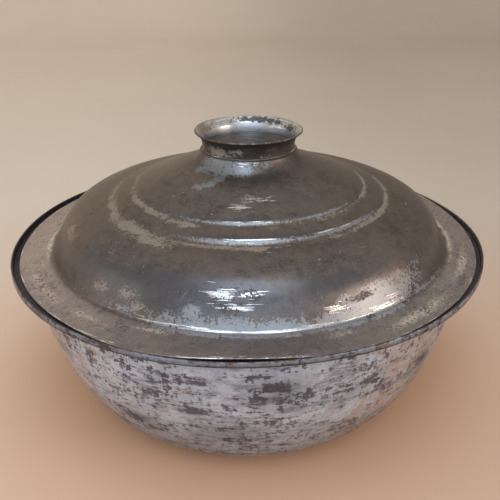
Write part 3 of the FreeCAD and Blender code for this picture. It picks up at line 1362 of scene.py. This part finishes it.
        # Painted light: the brim is made lighter towards the two sides, most at the left.
        brim_painted_light = 0.46 + 0.86 * sideways + 0.6 * bell(azimuth, 180.0, 38.0)
        tin, film_and_reflection, burnish_and_highlight, stain_and_shade, cool = (
            painted(spots, azimuth, radius) * over
            for spots in (self.tin(), self.film_and_reflection(), self.burnish_and_highlight(), self.stains(), self.cool())
        )
        boss_mark = boss * (0.30 + 0.2 * np.cos(0.9 * radius))
        dome_mark = 0.3 * under * smooth(skin.height, 108.0, 140.0)
        return {
            Coat.TIN: strongest(tin, 0.45 * boss),
            Coat.FILM_AND_REFLECTION: strongest(film_and_reflection, (0.26 + 0.12 * sideways) * brim, 0.3 * under),
            # Painted highlights on the lid's front, with rubbed wear on the crown and along the
            # brim's edge.
            Coat.BURNISH_AND_HIGHLIGHT: strongest(burnish_and_highlight, 0.42 * rim_edge * over),
            Coat.STAIN_AND_SHADE: strongest(stain_and_shade, 0.31 * brim, boss_mark, dome_mark),
            Coat.COPPER: 0.36 * rim_edge,
            Coat.INSIDE: under,
            # Painted shade on the boss inside the ring and on the neck below it; the brim's term is
            # painted light.
            Coat.SHADE: 0.42 * boss + 0.2 * neck - brim * brim_painted_light,
            Coat.COOL: strongest(cool, 0.46 * brim),
        }

    def finish(self) -> AgedTin:
        """Tin gone a dark warm brown-grey, with satin gloss."""
        return AgedTin(
            name="darkened_dome",
            ground=Layer((0.188, 0.167, 0.158), 0.9, 0.37),
            centre=self.shift,
            grain=1.1,
            speck_low=0.728,
            scratches=0.8,
        )

    def make(self) -> Piece:
        """Builds and dresses the lid.

        Returns:
            The piece.
        """
        skin = self.skin()
        piece = skin.build("lid_skin", self.settled(skin), self.coats(skin))
        piece.data.materials.append(self.finish().material())
        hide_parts("lid")
        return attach(piece, Body.LID.value)


# ---- the grip


@dataclass
class Grip:
    """The flared ring that is the lid's grip, and its bead of solder, in millimetres."""

    radius: float = 26.9
    foot_level: float = 158.265
    sheet: float = 1.0
    foot_height: float = 3.0
    foot_bend: float = 20.0
    waist_height: float = 7.4
    waist_lean: float = 1.0
    waist_bend: float = 6.0
    lip_overhang: float = 4.7
    height: float = 10.4
    edge_round: float = 0.42
    foot_round: float = 0.15
    bead_leg: float = 0.95
    bead_width: float = 0.8
    bead_clearance: float = 0.01
    shift: float = 1.3
    spacing: float = 0.55
    turn_step: float = 10.0
    bead_spacing: float = 0.16
    bead_turn_step: float = 15.0
    around: int = 360

    def ring_skin(self) -> Turning:
        """The ring's closed section: up the outside, over the lip and down the inside.

        Returns:
            The turned skin.
        """
        foot = self.foot_level
        outside = corner_list(
            (self.radius, foot, self.foot_round),
            (self.radius, foot + self.foot_height, self.foot_bend),
            (self.radius + self.waist_lean, foot + self.waist_height, self.waist_bend),
            (self.radius + self.lip_overhang, foot + self.height, self.edge_round),
        )
        inside = parallel_face(outside, self.sheet)
        inside[0, 2] = self.foot_round
        inside[-1, 2] = self.edge_round
        start = corner_list((self.radius - 0.5 * self.sheet, foot))
        path = np.vstack([start, outside, inside[::-1], start])
        run = bent_run(path, self.spacing, self.turn_step)[:-1]
        return Turning(run, self.around, ring=True)

    def ring_settled(self, skin: Turning) -> np.ndarray:
        """The points, with the lip slightly waved and out of round.

        Args:
            skin: The turned skin.

        Returns:
            Rows of x, y and z in millimetres.
        """
        turn = np.radians(skin.azimuth)
        up = smooth(skin.height, self.foot_level + 3.0, self.foot_level + self.height)
        radius = skin.radius + up * (ripples(turn, (0.16, 2.0, 0.9), (0.08, 5.0, 0.0)) - 0.12)
        height = skin.height - up * (0.12 + ripples(turn, (0.10, 3.0, 0.5)))
        return placed(radius, turn, height, self.shift)

    def ring_coats(self, skin: Turning) -> dict[Coat, np.ndarray]:
        """The ring's soft patches.

        Args:
            skin: The turned skin.

        Returns:
            One value per vertex for each coat.
        """
        azimuth, level = skin.azimuth, skin.height - self.foot_level
        inner = (skin.row > int(np.argmax(skin.section[:, 1]))).astype(float)
        outer = 1.0 - inner
        lip = smooth(level, self.height - 0.7, self.height + 0.2)
        clean = patches(
            (-128, 3.4, 30, 5, 0.8), (-104, 4.4, 14, 3.6, 0.75), (-138, 5, 12, 3, 0.6),
            (-70, 1.6, 14, 1.8, 0.6), (-62, 5.5, 16, 2.4, 0.35), (30, 4, 30, 3, 0.7),
            (130, 5, 24, 3, 0.7),
        )
        tarnish = patches((75, 9, 62, 2.8, 0.85), (22, 7.6, 26, 3.6, 0.7))
        return {
            Coat.TIN: strongest(painted(clean, azimuth, level) * outer, 0.9 * inner),
            Coat.FILM_AND_REFLECTION: 0.30 * lip,
            Coat.BURNISH_AND_HIGHLIGHT: 0.45 * inner * smooth(level, 3.0, 7.0),
            Coat.STAIN_AND_SHADE: strongest(painted(tarnish, azimuth, level) * inner, 0.16 * outer),
            Coat.COPPER: strongest(0.32 * lip, 0.50 * inner * bell(azimuth, 152.0, 26.0)),
            Coat.INSIDE: inner,
            Coat.SHADE: 0.15 * outer,
            Coat.COOL: 0.5 * outer,
        }

    def make_ring(self) -> Piece:
        """Builds and dresses the ring.

        Returns:
            The piece.
        """
        skin = self.ring_skin()
        piece = skin.build("grip_ring", self.ring_settled(skin), self.ring_coats(skin))
        finish = AgedTin(
            name="grip_metal",
            ground=Layer((0.075, 0.066, 0.06), 0.8, 0.4),
            centre=self.shift,
            tin=Layer((0.50, 0.53, 0.565), 1.0, 0.32),
            inside=Layer((0.5, 0.49, 0.48), 1.0, 0.3),
            copper=Layer((0.47, 0.355, 0.29), 0.95, 0.36),
            rise=1.0,
            fineness=0.42,
            girth=28.0,
        )
        piece.data.materials.append(finish.material())
        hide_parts("lid_collar")
        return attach(piece, Body.LID.value)

    def make_bead(self) -> Piece:
        """Builds and dresses the bead of solder round the ring's foot.

        The section is a rounded three-cornered ring a hair's breadth off the collar and the lid,
        and its leg and width swell and shrink with three waves round the piece.

        Returns:
            The piece.
        """
        wall = self.radius + self.bead_clearance
        foot = self.foot_level + self.bead_clearance
        path = corner_list(
            (wall, foot + 0.4 * self.bead_leg),
            (wall, foot, 0.02),
            (wall + self.bead_width, foot, 0.08),
            (wall + 0.3 * self.bead_width, foot + 0.34 * self.bead_leg, 0.5),
            (wall, foot + self.bead_leg, 0.05),
            (wall, foot + 0.4 * self.bead_leg),
        )
        run = bent_run(path, self.bead_spacing, self.bead_turn_step)[:-1]
        skin = Turning(run, self.around, ring=True)
        turn = np.radians(skin.azimuth)
        swell = 0.8 + ripples(turn, (0.12, 7.0, 1.0), (0.10, 17.0, 0.0), (0.06, 31.0, 0.0))
        radius = wall + (skin.radius - wall) * swell
        height = foot + (skin.height - foot) * swell
        points = placed(radius, turn, height, self.shift)
        whole = np.ones_like(radius)
        coats = {
            Coat.TIN: 0.42 * whole,
            Coat.FILM_AND_REFLECTION: 0.25 * whole,
            Coat.BURNISH_AND_HIGHLIGHT: 0.25 * whole,
            Coat.STAIN_AND_SHADE: 0.25 * whole,
            Coat.COPPER: 0.34 * np.clip(np.cos(np.radians(skin.azimuth + 35.0)), 0.0, 1.0),
            Coat.COOL: 0.4 * whole,
        }
        piece = skin.build("solder_bead", points, coats)
        finish = AgedTin(
            name="old_solder",
            ground=Layer((0.17, 0.155, 0.145), 0.8, 0.5),
            centre=self.shift,
            tin=Layer((0.30, 0.30, 0.31), 0.95, 0.46),
            fineness=0.35,
            girth=27.0,
        )
        piece.data.materials.append(finish.material())
        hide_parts("collar_solder")
        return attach(piece, Body.LID.value)


# ---- the studio


@dataclass
class Lamp:
    """A soft square lamp, in metres and degrees.

    Args:
        name: Its name.
        azimuth: Degrees round from the right-hand side, with the front at -90.
        elevation: Degrees above the floor.
        distance: From the middle of the object.
        size: Its width and height.
        power: In watts.
        color: Linear colour.
    """

    name: str
    azimuth: float
    elevation: float
    distance: float
    size: tuple[float, float]
    power: float
    color: Color

    def hang(self, aim: Vector) -> None:
        """Puts the lamp up, facing its aim.

        Args:
            aim: The point it faces.
        """
        light = bpy.data.lights.new(self.name, "AREA")
        light.shape = "RECTANGLE"
        light.size, light.size_y = self.size
        light.energy = self.power
        light.color = self.color
        turn = math.radians(self.azimuth)
        lift = math.radians(self.elevation)
        level = math.cos(lift)
        way = Vector((level * math.cos(turn), level * math.sin(turn), math.sin(lift)))
        lamp = bpy.data.objects.new(self.name, light)
        lamp.location = aim + self.distance * way
        lamp.rotation_euler = way.to_track_quat("Z", "Y").to_euler()
        bpy.context.scene.collection.objects.link(lamp)


@dataclass(frozen=True)
class Paper:
    """Matt pale paper, warmer near the object, with painted shade round the object's foot and
    towards the right.

    Args:
        far: Its colour at the back.
        near: Its colour round the object.
        under: Its colour under and round the object, a painted warm shadow.
        fore: Its colour in the foreground.
        roughness: How rough it is.
    """

    far: Color = (0.87, 0.775, 0.665)
    near: Color = (0.91, 0.65, 0.48)
    under: Color = (0.86, 0.53, 0.35)
    fore: Color = (0.84, 0.74, 0.66)
    roughness: float = 0.85

    def material(self) -> bpy.types.Material:
        """Lays the colours one over another, by distance in metres, clouds them and darkens them
        towards the right as painted shade.

        Returns:
            The material.
        """
        bench = Bench("pale_paper")
        places = bench.places()
        x, y, z = bench.parts(places)
        color = bench.mix(1.0 - (y + z).step(-0.04, 0.36), self.far, self.near)
        # Painted warm shadow on the paper round the object's foot.
        color = bench.mix(1.0 - (x * x + y * y).root().step(0.09, 0.21), color, self.under)
        color = bench.mix(1.0 - y.step(-0.32, -0.19), color, self.fore)
        cloud = bench.noise(places, 0.35, Grain(0.35, 2.0, 0.5))
        # Painted shade: the paper darkens towards the right.
        shade = swing(1.0, (cloud, 0.12)) - x.step(-0.3, 0.3) * 0.23 - x * 0.06
        values = {"Base Color": bench.scaled(color, shade), "Roughness": self.roughness}
        return bench.dress(values)


@dataclass
class Studio:
    """The pale floor and backdrop, the lamps and the camera, in metres and radians."""

    floor_reach: float = 5.0
    wall_start: float = 1.5
    wall_radius: float = 0.5
    wall_height: float = 2.0
    aim: tuple[float, float, float] = (0.0, 0.0, 0.09)
    surround: Color = (0.95, 0.87, 0.79)
    surround_strength: float = 0.58
    camera_place: tuple[float, float, float] = (0.0, -0.3808, 0.27255)
    camera_pitch: float = 0.4444
    camera_roll: float = -0.0075
    camera_yaw: float = 0.0045
    lens: float = 48.34

    def sweep(self) -> Piece:
        """The floor and wall as one sheet: flat, then a quarter round, then upright.

        Point (i, j) has x across the sheet and takes y and z from the run of floor, arc and wall.

        Returns:
            The sheet.
        """
        arc = np.radians(np.linspace(0.0, 90.0, 25))
        arc_y = self.wall_start + self.wall_radius * np.sin(arc)
        run_y = np.concatenate([[-self.floor_reach], arc_y, arc_y[-1:]])
        run_z = np.concatenate([[0.0], self.wall_radius * (1.0 - np.cos(arc)), [self.wall_height]])
        across = np.array([-self.floor_reach, self.floor_reach])
        x, y = np.meshgrid(across, run_y)
        z = np.repeat(run_z, 2)
        points = np.column_stack([x.ravel(), y.ravel(), z])
        i = 2 * np.arange(len(run_y) - 1)
        faces = np.column_stack([i, i + 1, i + 3, i + 2])
        mesh = bpy.data.meshes.new("backdrop")
        mesh.from_pydata(points.tolist(), [], faces.tolist())
        mesh.polygons.foreach_set("use_smooth", np.ones(len(faces), bool))
        sheet = bpy.data.objects.new("backdrop", mesh)
        bpy.context.scene.collection.objects.link(sheet)
        mesh.materials.append(Paper().material())
        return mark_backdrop(sheet)

    def lamps(self) -> list[Lamp]:
        """Cool lamps high and low in front, a warm one at the right and a weak one at the left."""
        return [
            Lamp("high_cool", -91.0, 60.0, 1.25, (0.66, 0.95), 4.9, (0.72, 0.86, 1.0)),
            Lamp("front_cool", -94.0, 20.0, 1.3, (1.6, 0.6), 3.2, (0.66, 0.83, 1.0)),
            Lamp("right_warm", -27.0, 13.0, 1.1, (0.50, 0.30), 2.6, (1.0, 0.77, 0.60)),
            Lamp("left_fill", -165.0, 16.0, 1.4, (0.8, 0.6), 1.0, (1.0, 0.92, 0.84)),
        ]

    def world(self) -> None:
        """Even, faintly warm light from all round."""
        world = bpy.data.worlds.new("room")
        world.use_nodes = True
        bpy.context.scene.world = world
        background = world.node_tree.nodes["Background"]
        background.inputs["Color"].default_value = opaque(self.surround)
        background.inputs["Strength"].default_value = self.surround_strength

    def camera(self) -> None:
        """The camera, turned by yaw, pitch and roll from level and looking back."""
        data = bpy.data.cameras.new("portrait")
        data.lens = self.lens
        data.sensor_width = 36.0
        data.clip_start = 0.01
        camera = bpy.data.objects.new("portrait", data)
        camera.location = self.camera_place
        upright = Vector((0.0, 0.0, 1.0))
        view = Vector((0.0, math.cos(self.camera_pitch), -math.sin(self.camera_pitch)))
        aim = view.to_track_quat("-Z", "Y")
        aim = Quaternion(upright, -self.camera_yaw) @ aim @ Quaternion(upright, self.camera_roll)
        camera.rotation_euler = aim.to_euler("XYZ")
        bpy.context.scene.collection.objects.link(camera)
        bpy.context.scene.camera = camera

    def make(self) -> None:
        """Sets up floor, lamps, surrounding light, camera and plain tones."""
        self.sweep()
        for lamp in self.lamps():
            lamp.hang(Vector(self.aim))
        self.world()
        self.camera()
        bpy.context.scene.view_settings.view_transform = "Standard"


def report(piece: Piece) -> None:
    """Logs a piece's size."""
    mesh = piece.data
    LOG.info("%s: %d vertices, %d faces", piece.name, len(mesh.vertices), len(mesh.polygons))


def main() -> None:
    """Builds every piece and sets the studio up."""
    logging.basicConfig(level=logging.INFO, format="%(name)s %(message)s")
    grip = Grip()
    for piece in (Bowl().make(), Lid().make(), grip.make_ring(), grip.make_bead()):
        report(piece)
    Studio().make()


if __name__ == "__main__":
    main()
